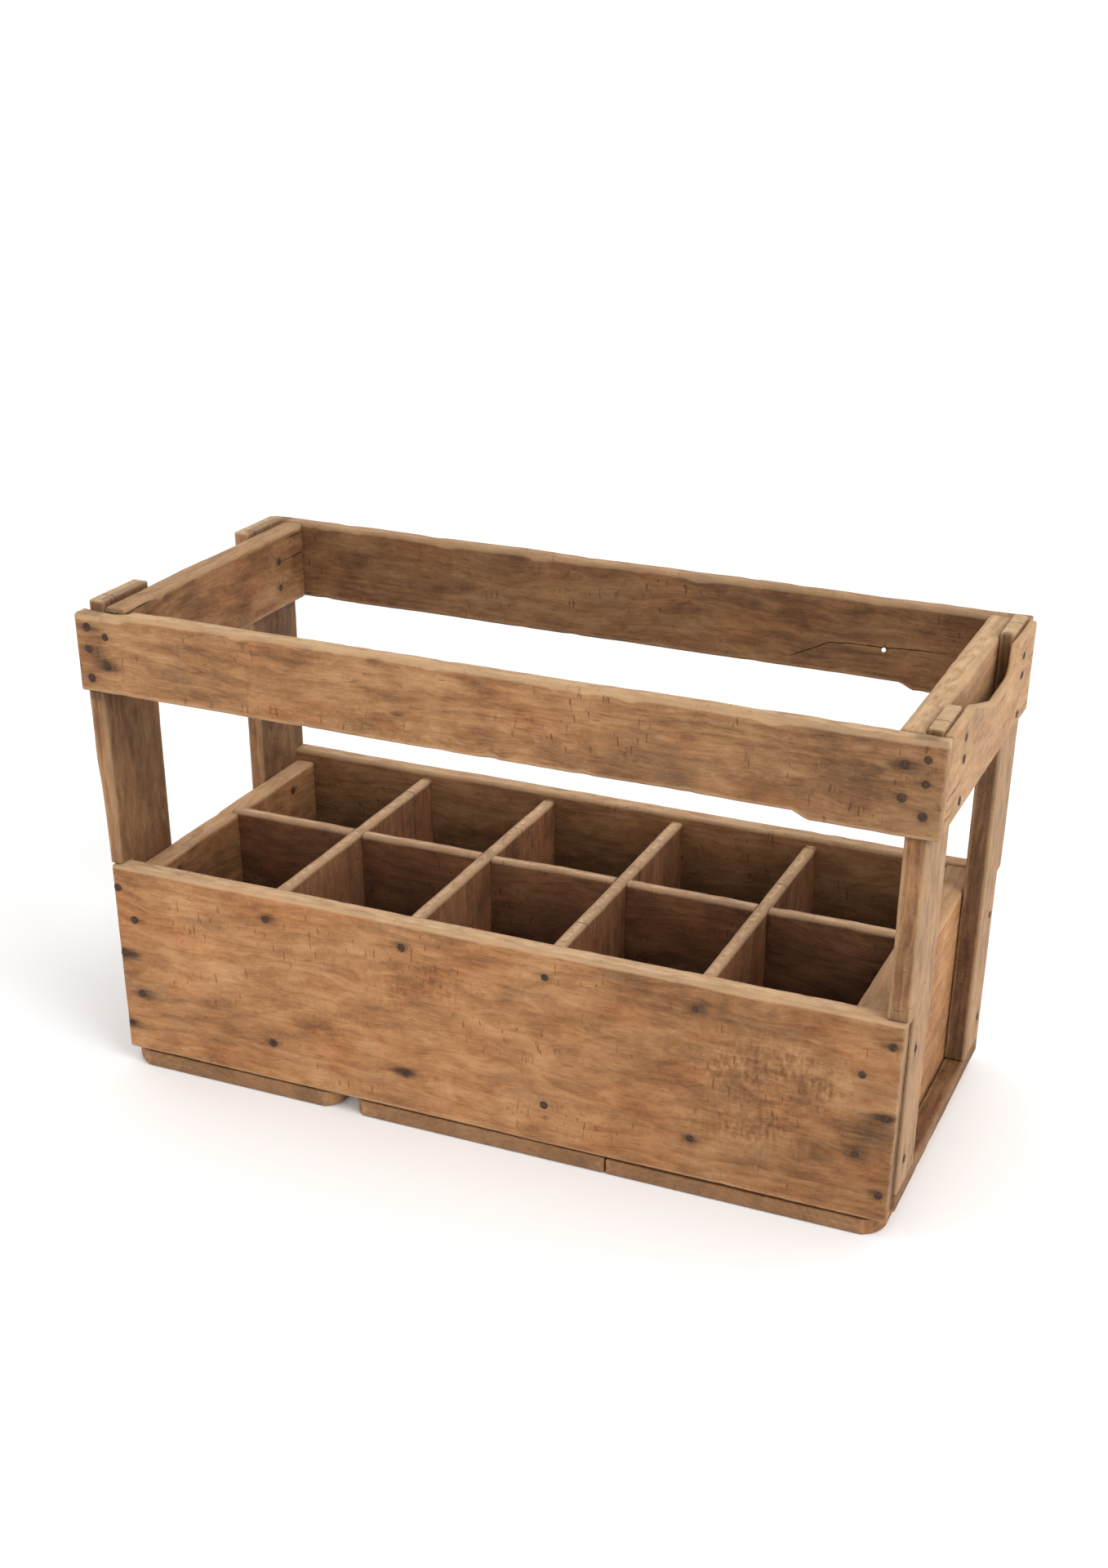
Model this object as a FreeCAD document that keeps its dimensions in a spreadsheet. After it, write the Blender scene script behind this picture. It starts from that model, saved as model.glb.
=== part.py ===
import FreeCAD, Part
import math
import os
import re
import Sketcher

# An old wooden bottle crate: a low nailed box with ten cells, four corner posts
# and an open frame of rails above. +X runs along the length, +Y from front to rear,
# +Z up, and the origin lies under the middle of the crate, on the ground.

doc = FreeCAD.newDocument("bottle_crate")
sheet = doc.addObject("Spreadsheet::Sheet", "Dims")

# Number of cells in each of the two rows
CELLS_ALONG = 5

# Driving sizes in millimetres
sizes = {
    # Whole crate
    "rail_length": 500.0,
    "crate_depth": 222.0,
    "window_height": 107.0,
    # Bottom slats
    "slat_thickness": 11.0,
    "left_slat_width": 145.5,
    "slat_gap": 11.0,
    "slat_joint": 1.0,
    "slat_corner_radius": 15.0,
    "slat_gap_radius": 10.0,
    "slat_right_setback": 2.5,
    # Long boards of the lower box
    "board_height": 125.0,
    "board_thickness": 12.0,
    "board_left_setback": 4.0,
    "board_right_setback": 2.0,
    # End panels of the lower box
    "left_panel_thickness": 13.0,
    "right_panel_thickness": 19.0,
    "left_panel_drop": 7.0,
    "right_panel_drop": 1.0,
    # Corner posts
    "left_post_thickness": 10.0,
    "right_post_thickness": 13.0,
    "left_post_width": 54.0,
    "right_post_width": 47.0,
    "post_inset": 2.0,
    "post_rise": 2.0,
    # Rails of the top frame
    "rail_height": 49.0,
    "rail_thickness": 11.0,
    "rail_shoulder_drop": 4.0,
    "rail_shoulder_length": 68.0,
    "rail_shoulder_slope": 8.0,
    "left_rail_overhang": 3.0,
    "rear_rail_setback": 4.0,
    "left_inner_rail_thickness": 13.0,
    "right_inner_rail_thickness": 14.0,
    "right_rail_housing": 4.5,
    # Hand rail outside the right posts
    "hand_rail_thickness": 5.0,
    "hand_end_length": 47.0,
    "scoop_depth": 16.0,
    "scoop_fall": 55.0,
    "scoop_radius": 12.0,
    # Batten that the right posts stand on
    "batten_thickness": 11.0,
    "batten_nail_inset": 4.0,
    "batten_nail_length": 18.0,
    # Dividers
    "divider_thickness": 8.0,
    "divider_drop": 5.0,
    "long_divider_offset": 5.0,
    "groove_depth": 4.0,
    "groove_clearance": 0.2,
    # Nails
    "nail_head_diameter": 5.2,
    "nail_head_thickness": 1.2,
    "nail_head_recess": 0.4,
    "nail_shank_diameter": 2.6,
    "nail_length": 34.0,
    "short_nail_length": 21.5,
    "side_nail_gap": 7.0,
    "post_nail_inset": 20.0,
    "spare_hole_inset": 87.0,
    # Cuts run this far past the faces that they open
    "cut_overrun": 2.0,
}

# Heights of the nails, as shares of the board or rail that they hold
rail_post_shares = (0.79, 0.53, 0.18)
rail_inner_shares = (0.70, 0.35)
board_post_shares = (0.88, 0.53, 0.14)
board_panel_shares = (0.72, 0.32)
board_divider_shares = (0.87, 0.21)
hand_rail_shares = (0.78, 0.56, 0.14)
inner_rail_shares = (0.64, 0.29)
post_panel_shares = (0.80, 0.24)
panel_inside_shares = (0.86, 0.30)
spare_hole_share = 0.39
# Places of the bottom nails, as shares of each slat's width
slat_nail_shares = (0.12, 0.50, 0.88)

# Sizes and places that follow from the driving sizes
derived = {
    "half_length": "rail_length / 2",
    "front_face": "-crate_depth / 2",
    "rear_face": "crate_depth / 2",
    "left_post_outer": "left_rail_overhang - half_length",
    "left_post_inner": "left_post_outer + left_post_thickness",
    "right_post_outer": "half_length - hand_rail_thickness",
    "right_post_inner": "right_post_outer - right_post_thickness",
    "board_left": "left_post_outer + board_left_setback",
    "board_right": "right_post_outer - board_right_setback",
    "board_length": "board_right - board_left",
    "board_top": "slat_thickness + board_height",
    "rail_bottom": "board_top + window_height",
    "rail_foot": "rail_bottom - rail_shoulder_drop",
    "rail_deep_height": "rail_height + rail_shoulder_drop",
    "left_post_shoulder": "rail_bottom - slat_thickness",
    "right_post_shoulder": "rail_foot - slat_thickness",
    "post_height": "left_post_shoulder + rail_height + post_rise",
    "left_cell_wall": "left_post_inner + left_panel_thickness",
    "right_cell_wall": "right_post_inner - right_panel_thickness",
    "front_cell_wall": "front_face + board_thickness",
    "rear_cell_wall": "rear_face - board_thickness",
    "panel_length": "crate_depth - 2 * board_thickness",
    "cell_pitch": f"(right_cell_wall - left_cell_wall + divider_thickness) / {CELLS_ALONG}",
    "divider_height": "board_height - divider_drop",
    "groove_height": "divider_height + groove_clearance + cut_overrun",
    "lap_height": "divider_height / 2",
    "groove_width": "divider_thickness + 2 * groove_clearance",
    "cross_divider_length": "panel_length + 2 * groove_depth",
    "long_divider_length": "right_cell_wall - left_cell_wall + 2 * groove_depth",
    "inner_rail_length": "crate_depth - 2 * rail_thickness",
    "left_inner_face": "left_post_inner + left_inner_rail_thickness",
    "right_inner_seat": "right_post_inner + right_rail_housing",
    "right_inner_face": "right_inner_seat - right_inner_rail_thickness",
    "rear_rail_length": "rail_length - rear_rail_setback",
    "scoop_end": "inner_rail_length - hand_end_length",
    "scoop_low_start": "hand_end_length + scoop_fall",
    "scoop_floor": "rail_deep_height - scoop_depth",
    "scoop_rounding": "min(scoop_radius; (scoop_end - scoop_low_start) / 2)",
    "wide_slat_left": "board_left + left_slat_width + slat_gap",
    "wide_slat_width": "(board_right - slat_right_setback - wide_slat_left - slat_joint) / 2",
    "side_nail_row": "nail_head_recess + nail_length + side_nail_gap",
    "post_nail_row": "post_inset + post_nail_inset",
    "bottom_nail_row": "board_thickness / 2",
    "batten_nail_row": "crate_depth / 4",
    "batten_nail_line": "right_post_inner + batten_nail_inset",
}

rows = list(sizes.items()) + [(name, "=" + formula) for name, formula in derived.items()]
for row, (name, content) in enumerate(rows, start=1):
    sheet.set(f"A{row}", name)
    sheet.set(f"B{row}", str(content))
    sheet.setAlias(f"B{row}", name)
doc.recompute()


def read(formula):
    """The present value of a formula of size names."""
    return float(sheet.evalExpression(formula))


def linked(formula):
    """A formula of size names as an expression on the sheet."""
    return re.sub(r"[a-z][a-z_]+", lambda word: "Dims." + word.group(0), formula)


def bind(item, **formulas):
    """Tie properties of an object to formulas of size names."""
    for prop, formula in formulas.items():
        item.setExpression(prop, linked(formula))
    return item


def seat(item, *place):
    """Tie the place of an object to three formulas of size names."""
    for axis, formula in zip("xyz", place):
        item.setExpression(f"Placement.Base.{axis}", linked(formula))
    return item


def box(name, size, corner):
    """A squared board, from its length, width and height and its low corner."""
    length, width, height = size
    item = bind(doc.addObject("Part::Box", name), Length=length, Width=width, Height=height)
    return seat(item, *corner)


def group(name, items):
    """Separate solids under one name."""
    compound = doc.addObject("Part::Compound", name)
    compound.Links = items
    return compound


def cut(name, base, tools):
    """The base with each tool taken out of it in turn."""
    for number, tool in enumerate(tools):
        step = doc.addObject("Part::Cut", f"{name}_cut_{number}")
        step.Base = base
        step.Tool = tool
        base = step
    return base


def outline_body(name, plane, points, thickness):
    """A board sawn to an outline of straight edges, whose points are pairs of formulas."""
    body = doc.addObject("PartDesign::Body", name)
    sketch = body.newObject("Sketcher::SketchObject", name + "_outline")
    origin_plane = [item for item in body.Origin.OriginFeatures if item.Role == plane][0]
    sketch.AttachmentSupport = [(origin_plane, "")]
    sketch.MapMode = "FlatFace"
    # The sketch's own axes and the ends of its lines, as the constraints number them
    x_axis, y_axis = -1, -2
    start, end = 1, 2
    corners = [FreeCAD.Vector(read(across), read(up), 0) for across, up in points]
    following = list(range(1, len(points))) + [0]
    for corner, after in zip(corners, following):
        sketch.addGeometry(Part.LineSegment(corner, corners[after]), False)
    for line, after in enumerate(following):
        sketch.addConstraint(Sketcher.Constraint("Coincident", line, end, after, start))
    for line, (across, up) in enumerate(points):
        for kind, zero_axis, formula in (("DistanceX", y_axis, across), ("DistanceY", x_axis, up)):
            if formula == "0":
                sketch.addConstraint(Sketcher.Constraint("PointOnObject", line, start, zero_axis))
                continue
            constraint = Sketcher.Constraint(kind, x_axis, start, line, start, read(formula))
            number = sketch.addConstraint(constraint)
            sketch.setExpression(f"Constraints[{number}]", linked(formula))
    pad = body.newObject("PartDesign::Pad", name + "_pad")
    pad.Profile = sketch
    # A pad on the XZ plane grows towards -Y unless it is turned round
    pad.Reversed = plane == "XZ_Plane"
    bind(pad, Length=thickness)
    return body


def round_edges(body, along, across, place, radius):
    """Round the edges of a padded board that run along one axis, at a place on another axis."""
    doc.recompute()
    pad = body.Tip
    chosen = []
    for number, edge in enumerate(pad.Shape.Edges, start=1):
        first, second = [vertex.Point for vertex in edge.Vertexes]
        runs_along = math.isclose(abs(getattr(first - second, along)), edge.Length)
        if runs_along and math.isclose(getattr(first, across), place, abs_tol=Part.Precision.confusion()):
            chosen.append(f"Edge{number}")
    fillet = body.newObject("PartDesign::Fillet", body.Name + "_rounded")
    fillet.Base = (pad, chosen)
    bind(fillet, Radius=radius)


# Nails: each is a shank with a flat head, set a little below the surface
nodes = {}
holes = {}
WAYS = {
    "+x": FreeCAD.Vector(1, 0, 0),
    "-x": FreeCAD.Vector(-1, 0, 0),
    "+y": FreeCAD.Vector(0, 1, 0),
    "-y": FreeCAD.Vector(0, -1, 0),
    "+z": FreeCAD.Vector(0, 0, 1),
}


def pin(name, diameter, length, place, way):
    """A round bar that starts at a place and runs one way."""
    item = bind(doc.addObject("Part::Cylinder", name), Radius=f"{diameter} / 2", Height=length)
    turn = FreeCAD.Rotation(WAYS["+z"], WAYS[way])
    item.Placement = FreeCAD.Placement(FreeCAD.Vector(), turn)
    return seat(item, *place)


def moved(place, way, distance):
    """A place shifted one way by a formula of size names."""
    sign, axis = way
    shifted = dict(zip("xyz", place))
    shifted[axis] = f"{shifted[axis]} {sign} ({distance})"
    return list(shifted.values())


def fused(name, base, tool):
    """Two solids joined into one."""
    item = doc.addObject("Part::Fuse", name)
    item.Base = base
    item.Tool = tool
    return item


def nail(name, surface, way, length):
    """One nail driven into a surface, and the hole that it sits in."""
    top = moved(surface, way, "nail_head_recess")
    mouth = moved(surface, way, "-cut_overrun")
    sink_depth = "cut_overrun + nail_head_recess + nail_head_thickness"
    shank = pin(name + "_shank", "nail_shank_diameter", length, top, way)
    head = pin(name + "_head", "nail_head_diameter", "nail_head_thickness", top, way)
    sink = pin(name + "_sink", "nail_head_diameter", sink_depth, mouth, way)
    return fused(name, shank, head), fused(name + "_hole", shank, sink)


def nail_group(name, surfaces, length):
    """A node of equal nails; each surface is a place and the way that its nail is driven."""
    made = [nail(f"{name}_{number}", place, way, length) for number, (place, way) in enumerate(surfaces)]
    nodes[name] = group(name, [whole for whole, hole in made])
    holes[name] = group(name + "_holes", [hole for whole, hole in made])


LEFT_POST_MIDDLE = "(left_post_outer + left_post_inner) / 2"
RIGHT_POST_MIDDLE = "(right_post_outer + right_inner_seat) / 2"
LEFT_LAP_MIDDLE = "(board_left + left_post_inner) / 2"
RIGHT_LAP_MIDDLE = "(board_right + right_post_inner) / 2"
LEFT_PANEL_MIDDLE = "(left_post_inner + left_cell_wall) / 2"
RIGHT_PANEL_MIDDLE = "(right_post_inner + right_cell_wall) / 2"
LEFT_INNER_MIDDLE = "(left_post_inner + left_inner_face) / 2"
RIGHT_INNER_MIDDLE = "(right_inner_seat + right_inner_face) / 2"
CROSS_MIDDLES = [
    f"left_cell_wall + cell_pitch * {number} - divider_thickness / 2" for number in range(1, CELLS_ALONG)
]
LONG_FACES = {"front": ("front_face", "+y"), "rear": ("rear_face", "-y")}
INWARD_ROWS = ("front_face + {}", "rear_face - {}")


def up_rail(shares):
    return [f"rail_bottom + rail_height * {share}" for share in shares]


def up_hand_rail(shares):
    return [f"rail_foot + rail_deep_height * {share}" for share in shares]


def up_board(shares):
    return [f"slat_thickness + board_height * {share}" for share in shares]


def columns(middles, heights, face, way):
    """Upright columns of nails on a long face."""
    return [((middle, face, height), way) for middle in middles for height in heights]


for end, (face, way) in LONG_FACES.items():
    post_columns = columns((LEFT_POST_MIDDLE, RIGHT_POST_MIDDLE), up_rail(rail_post_shares), face, way)
    inner_columns = columns((LEFT_INNER_MIDDLE, RIGHT_INNER_MIDDLE), up_rail(rail_inner_shares), face, way)
    nail_group(f"{end}_rail_nails", post_columns + inner_columns, "nail_length")
    post_columns = columns((LEFT_LAP_MIDDLE, RIGHT_LAP_MIDDLE), up_board(board_post_shares), face, way)
    panel_columns = columns((LEFT_PANEL_MIDDLE, RIGHT_PANEL_MIDDLE), up_board(board_panel_shares), face, way)
    nail_group(f"{end}_board_nails", post_columns + panel_columns, "nail_length")
    divider_columns = columns(CROSS_MIDDLES, up_board(board_divider_shares), face, way)
    nail_group(f"{end}_divider_nails", divider_columns, "nail_length")


def side_nails(name, surface, way, inward, heights):
    """Short nails along X near the front and the rear corner of an end."""
    places = [(surface, row.format(inward), height) for row in INWARD_ROWS for height in heights]
    nail_group(name, [(place, way) for place in places], "short_nail_length")


side_nails("hand_rail_nails", "half_length", "-x", "side_nail_row", up_hand_rail(hand_rail_shares))
side_nails("left_inner_rail_nails", "left_inner_face", "-x", "side_nail_row", up_rail(inner_rail_shares))
side_nails("right_inner_rail_nails", "right_inner_face", "+x", "side_nail_row", up_rail(inner_rail_shares))
side_nails("left_panel_nails", "left_cell_wall", "-x", "side_nail_row", up_board(panel_inside_shares))
side_nails("left_post_nails", "left_post_outer", "+x", "post_nail_row", up_board(post_panel_shares))
side_nails("right_post_nails", "right_post_outer", "-x", "post_nail_row", up_board(post_panel_shares))

# Bottom slats, laid across, and the nails that hold them to the long boards
slats = {
    "bottom_slat_left": ("board_left", "left_slat_width"),
    "bottom_slat_middle": ("wide_slat_left", "wide_slat_width"),
    "bottom_slat_right": ("wide_slat_left + wide_slat_width + slat_joint", "wide_slat_width"),
}
# Sides of a slat with rounded corners: the outer ends of the crate and the gap
rounded_sides = {
    "bottom_slat_left": [("0", "slat_corner_radius"), ("left_slat_width", "slat_gap_radius")],
    "bottom_slat_middle": [("0", "slat_gap_radius")],
    "bottom_slat_right": [("wide_slat_width", "slat_corner_radius")],
}
bottom_places = []
for start, width in slats.values():
    for share in slat_nail_shares:
        for row in INWARD_ROWS:
            bottom_places.append((f"{start} + {width} * {share}", row.format("bottom_nail_row"), "0"))
nail_group("bottom_nails", [(place, "+z") for place in bottom_places], "nail_length")
batten_places = [("batten_nail_line", row.format("batten_nail_row"), "0") for row in INWARD_ROWS]
nail_group("batten_nails", [(place, "+z") for place in batten_places], "batten_nail_length")

for name, (start, width) in slats.items():
    corners = [("0", "0"), (width, "0"), (width, "crate_depth"), ("0", "crate_depth")]
    slat = outline_body(name + "_board", "XY_Plane", corners, "slat_thickness")
    seat(slat, start, "front_face", "0")
    for side, radius in rounded_sides[name]:
        round_edges(slat, "z", "x", read(side), radius)
    tools = [holes["bottom_nails"]]
    if name == "bottom_slat_right":
        tools.append(holes["batten_nails"])
    nodes[name] = cut(name, slat, tools)

# Batten on the right slat, between the long boards, that the right posts stand on
batten_size = ("right_post_thickness", "panel_length", "batten_thickness")
batten = box("right_batten_board", batten_size, ("right_post_inner", "front_cell_wall", "slat_thickness"))
nodes["right_batten"] = cut("right_batten", batten, [holes["batten_nails"]])

# Long boards of the lower box, with stopped grooves that take the cross dividers from below
long_boards = {
    "front": ("front_face", "front_cell_wall - groove_depth"),
    "rear": ("rear_cell_wall", "rear_cell_wall - cut_overrun"),
}
for end, (face, groove_face) in long_boards.items():
    board_size = ("board_length", "board_thickness", "board_height")
    board = box(f"{end}_board_plank", board_size, ("board_left", face, "slat_thickness"))
    groove_size = ("groove_width", "groove_depth + cut_overrun", "groove_height")
    grooves = []
    for number, middle in enumerate(CROSS_MIDDLES):
        corner = (f"{middle} - groove_width / 2", groove_face, "slat_thickness - cut_overrun")
        grooves.append(box(f"{end}_groove_{number}", groove_size, corner))
    tools = [group(f"{end}_grooves", grooves), holes["bottom_nails"]]
    tools += [holes[f"{end}_board_nails"], holes[f"{end}_divider_nails"]]
    nodes[f"{end}_board"] = cut(f"{end}_board", board, tools)

# End panels of the lower box, each with one upright groove for the long divider
end_panels = {
    "left": ("left_post_inner", "left_cell_wall - groove_depth"),
    "right": ("right_cell_wall", "right_cell_wall - cut_overrun"),
}
for side, (start, groove_start) in end_panels.items():
    panel_size = (f"{side}_panel_thickness", "panel_length", f"board_height - {side}_panel_drop")
    panel = box(f"{side}_panel_plank", panel_size, (start, "front_cell_wall", "slat_thickness"))
    groove_size = ("groove_depth + cut_overrun", "groove_width", "groove_height")
    corner = (groove_start, "long_divider_offset - groove_width / 2", "slat_thickness - cut_overrun")
    groove = box(f"{side}_panel_groove", groove_size, corner)
    tools = [groove, holes["front_board_nails"], holes["rear_board_nails"], holes[f"{side}_post_nails"]]
    if side == "left":
        tools.append(holes["left_panel_nails"])
    nodes[f"{side}_end_panel"] = cut(f"{side}_end_panel", panel, tools)

# Corner posts: the rear ones are the front ones turned round
HALF_TURN = FreeCAD.Rotation(WAYS["+z"], 180)
POST_STARTS = {
    ("left", "front"): ("left_post_outer", "front_face"),
    ("left", "rear"): ("left_post_inner", "rear_face"),
    ("right", "front"): ("right_post_inner", "front_face"),
    ("right", "rear"): ("right_post_outer", "rear_face"),
}
POST_FEET = {"left": "0", "right": "batten_thickness"}


def post(side, end):
    """A corner post, rebated along its outer edge where the long board and the rail lie on it."""
    shoulder = f"{side}_post_shoulder"
    reach = f"post_inset + {side}_post_width"
    profile = [
        ("board_thickness", POST_FEET[side]),
        (reach, POST_FEET[side]),
        (reach, "post_height"),
        ("rail_thickness", "post_height"),
        ("rail_thickness", shoulder),
        ("post_inset", shoulder),
        ("post_inset", "board_height"),
        ("board_thickness", "board_height"),
    ]
    body = outline_body(f"{end}_{side}_post_board", "YZ_Plane", profile, f"{side}_post_thickness")
    if end == "rear":
        body.Placement = FreeCAD.Placement(FreeCAD.Vector(), HALF_TURN)
    return seat(body, *POST_STARTS[side, end], "slat_thickness")


# The right posts are housed along their tops, and the right inner rail lies in the housing
housing_size = ("right_rail_housing + cut_overrun", "crate_depth", "rail_height + post_rise + cut_overrun")
housing_corner = ("right_post_inner - cut_overrun", "front_face", "rail_bottom")
rail_housing = box("right_rail_housing_cut", housing_size, housing_corner)

for side, end in POST_STARTS:
    tools = [holes[f"{end}_rail_nails"], holes[f"{end}_board_nails"]]
    tools += [holes[f"{side}_post_nails"], holes[f"{side}_inner_rail_nails"]]
    if side == "left":
        tools.append(holes["left_panel_nails"])
    else:
        tools += [holes["hand_rail_nails"], rail_housing]
    nodes[f"{end}_{side}_post"] = cut(f"{end}_{side}_post", post(side, end), tools)

# Long rails, a little deeper at their right end
long_rails = {
    "front": ("front_face", "rail_length"),
    "rear": ("rear_face - rail_thickness", "rear_rail_length"),
}
for end, (low_face, length) in long_rails.items():
    rail_outline = [
        ("0", "rail_shoulder_drop"),
        ("rail_length - rail_shoulder_length - rail_shoulder_slope", "rail_shoulder_drop"),
        ("rail_length - rail_shoulder_length", "0"),
        (length, "0"),
        (length, "rail_deep_height"),
        ("0", "rail_deep_height"),
    ]
    rail = outline_body(f"{end}_rail_board", "XZ_Plane", rail_outline, "rail_thickness")
    seat(rail, "-half_length", low_face, "rail_foot")
    tools = [holes[f"{end}_rail_nails"]]
    if end == "rear":
        # A hole that a lost nail has left
        hole_height = up_rail([spare_hole_share])[0]
        hole_place = ("half_length - spare_hole_inset", "rear_face + cut_overrun", hole_height)
        hole_depth = "rail_thickness + 2 * cut_overrun"
        tools.append(pin("spare_nail_hole", "nail_shank_diameter", hole_depth, hole_place, "-y"))
    nodes[f"{end}_rail"] = cut(f"{end}_rail", rail, tools)

# Short rails on the inner side of the posts
for side, start in (("left", "left_post_inner"), ("right", "right_inner_face")):
    inner_size = (f"{side}_inner_rail_thickness", "inner_rail_length", "rail_height")
    rail = box(f"{side}_inner_rail_board", inner_size, (start, "front_face + rail_thickness", "rail_bottom"))
    tools = [holes["front_rail_nails"], holes["rear_rail_nails"], holes[f"{side}_inner_rail_nails"]]
    if side == "right":
        tools.append(holes["hand_rail_nails"])
    nodes[f"{side}_inner_rail"] = cut(f"{side}_inner_rail", rail, tools)

# Hand rail outside the right posts, scooped out in its top edge: gently at the front, steeply at the rear
hand_outline = [
    ("0", "0"),
    ("inner_rail_length", "0"),
    ("inner_rail_length", "rail_deep_height"),
    ("scoop_end", "rail_deep_height"),
    ("scoop_end", "scoop_floor"),
    ("scoop_low_start", "scoop_floor"),
    ("hand_end_length", "rail_deep_height"),
    ("0", "rail_deep_height"),
]
hand_rail = outline_body("hand_rail_board", "YZ_Plane", hand_outline, "hand_rail_thickness")
seat(hand_rail, "right_post_outer", "front_face + rail_thickness", "rail_foot")
round_edges(hand_rail, "x", "z", read("scoop_floor"), "scoop_rounding")
nodes["right_hand_rail"] = cut("right_hand_rail", hand_rail, [holes["hand_rail_nails"]])

# Dividers, half-lapped where they cross: the cross dividers run over the long one
long_face = "long_divider_offset - divider_thickness / 2"
slots = []
for number, middle in enumerate(CROSS_MIDDLES, start=1):
    name = f"cross_divider_{number}"
    cross_face = f"{middle} - divider_thickness / 2"
    plank_size = ("divider_thickness", "cross_divider_length", "divider_height")
    plank = box(name + "_plank", plank_size, (cross_face, "front_cell_wall - groove_depth", "slat_thickness"))
    notch_size = ("divider_thickness + 2 * cut_overrun", "groove_width", "lap_height + cut_overrun")
    notch_place = (f"{cross_face} - cut_overrun", f"{long_face} - groove_clearance")
    notch = box(name + "_notch", notch_size, (*notch_place, "slat_thickness - cut_overrun"))
    slot_size = ("groove_width", "divider_thickness + 2 * cut_overrun", "lap_height + cut_overrun")
    slot_place = (f"{cross_face} - groove_clearance", f"{long_face} - cut_overrun")
    slots.append(box(name + "_slot", slot_size, (*slot_place, "slat_thickness + lap_height")))
    tools = [notch, holes["front_divider_nails"], holes["rear_divider_nails"]]
    nodes[name] = cut(name, plank, tools)
long_size = ("long_divider_length", "divider_thickness", "divider_height")
long_corner = ("left_cell_wall - groove_depth", long_face, "slat_thickness")
long_plank = box("long_divider_plank", long_size, long_corner)
nodes["long_divider"] = cut("long_divider", long_plank, [group("long_divider_slots", slots)])

# Every object must have been made before anything is written
doc.recompute()
for item in doc.Objects:
    if "Invalid" in item.State or "Error" in item.State:
        raise RuntimeError(f"{item.Label} failed: {item.State}")
for name, item in nodes.items():
    if item.Shape.isNull() or not item.Shape.isValid() or not item.Shape.Solids:
        raise RuntimeError(f"{name} has no valid solid")

os.makedirs("parts", exist_ok=True)
for name, item in nodes.items():
    item.Label = name
    item.Shape.exportStep(f"parts/{name}.step")
print(len(nodes), "sub-parts written")
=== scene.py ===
import math
import random
from collections import namedtuple

import bmesh
import bpy
import numpy as np
from mathutils import Matrix, Vector, noise


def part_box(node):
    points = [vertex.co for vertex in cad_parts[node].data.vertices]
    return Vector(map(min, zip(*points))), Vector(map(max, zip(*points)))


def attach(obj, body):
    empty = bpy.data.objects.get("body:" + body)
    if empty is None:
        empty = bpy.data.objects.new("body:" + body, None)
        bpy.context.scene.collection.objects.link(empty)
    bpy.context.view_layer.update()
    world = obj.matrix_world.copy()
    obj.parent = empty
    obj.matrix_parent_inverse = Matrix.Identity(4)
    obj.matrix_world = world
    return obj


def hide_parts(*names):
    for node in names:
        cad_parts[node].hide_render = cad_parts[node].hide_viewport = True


# An old wooden bottle crate: every board is rebuilt on its solid as a worn plank, with
# rounded arrises, chips and waves, in procedural wood that follows the board's own grain.

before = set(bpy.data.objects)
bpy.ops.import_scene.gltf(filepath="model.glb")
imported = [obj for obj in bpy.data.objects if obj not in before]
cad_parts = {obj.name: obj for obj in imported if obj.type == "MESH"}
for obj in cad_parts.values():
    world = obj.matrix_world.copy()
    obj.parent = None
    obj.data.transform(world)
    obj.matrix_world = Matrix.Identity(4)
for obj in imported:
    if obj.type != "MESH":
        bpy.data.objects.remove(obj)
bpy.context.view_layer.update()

MM = 0.001
X, Y, Z = range(3)

# Vector noise starts from the clock unless it is given a seed
ROUGHNESS_SEED = 5
noise.seed_set(ROUGHNESS_SEED)

# Photograph and camera, fitted to the crate's edges
PHOTO_WIDTH, PHOTO_HEIGHT = 1357, 1920
SENSOR = 36.0
FOCAL_PIXELS = 2454.4
OPTICAL_CENTRE_PIXELS = (735.7, 1235.5)
CAMERA_TARGET = Vector((33.1, -11.0, 48.8)) * MM
CAMERA_DISTANCE = 1228.3 * MM
CAMERA_AZIMUTH = math.radians(21.74)
CAMERA_ELEVATION = math.radians(28.63)
CAMERA_ROLL = math.radians(1.09)


def srgb(red, green, blue):
    """A colour as it is read from a screen, turned into the linear values of the shaders."""
    def linear(channel):
        value = channel / 255
        return value / 12.92 if value <= 0.04045 else ((value + 0.055) / 1.055) ** 2.4
    return (linear(red), linear(green), linear(blue), 1.0)


# Nails, read from the solids of their nodes
WELD_DISTANCE = 0.001 * MM
RIM_SHARE = 0.9
STAIN_SEED = 7
STAIN_STRENGTHS = (0.45, 0.85)
STAIN_SPREADS = (0.6, 1.05)


def loose_parts(mesh):
    """The points of each separate solid of a mesh."""
    work = bmesh.new()
    work.from_mesh(mesh)
    bmesh.ops.remove_doubles(work, verts=work.verts, dist=WELD_DISTANCE)
    seen = set()
    for first in work.verts:
        if first in seen:
            continue
        waiting = [first]
        seen.add(first)
        part = []
        while waiting:
            vert = waiting.pop()
            part.append(vert.co.copy())
            for edge in vert.link_edges:
                other = edge.other_vert(vert)
                if other not in seen:
                    seen.add(other)
                    waiting.append(other)
        yield np.array(part)
    work.free()


def read_nail(points):
    """Where a nail's head is, which way it is driven, its length and its head's radius."""
    low, high = points.min(axis=0), points.max(axis=0)
    axis = int(np.argmax(high - low))
    middle = (low + high) / 2
    across = np.delete(points - middle, axis, axis=1)
    reach = np.hypot(across[:, 0], across[:, 1])
    rim = points[reach > RIM_SHARE * reach.max()]
    at_low = rim[:, axis].mean() < middle[axis]
    head = middle.copy()
    head[axis] = low[axis] if at_low else high[axis]
    way = np.zeros(3)
    way[axis] = 1.0 if at_low else -1.0
    return {"head": head, "way": way, "axis": axis, "length": high[axis] - low[axis], "radius": reach.max()}


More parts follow.
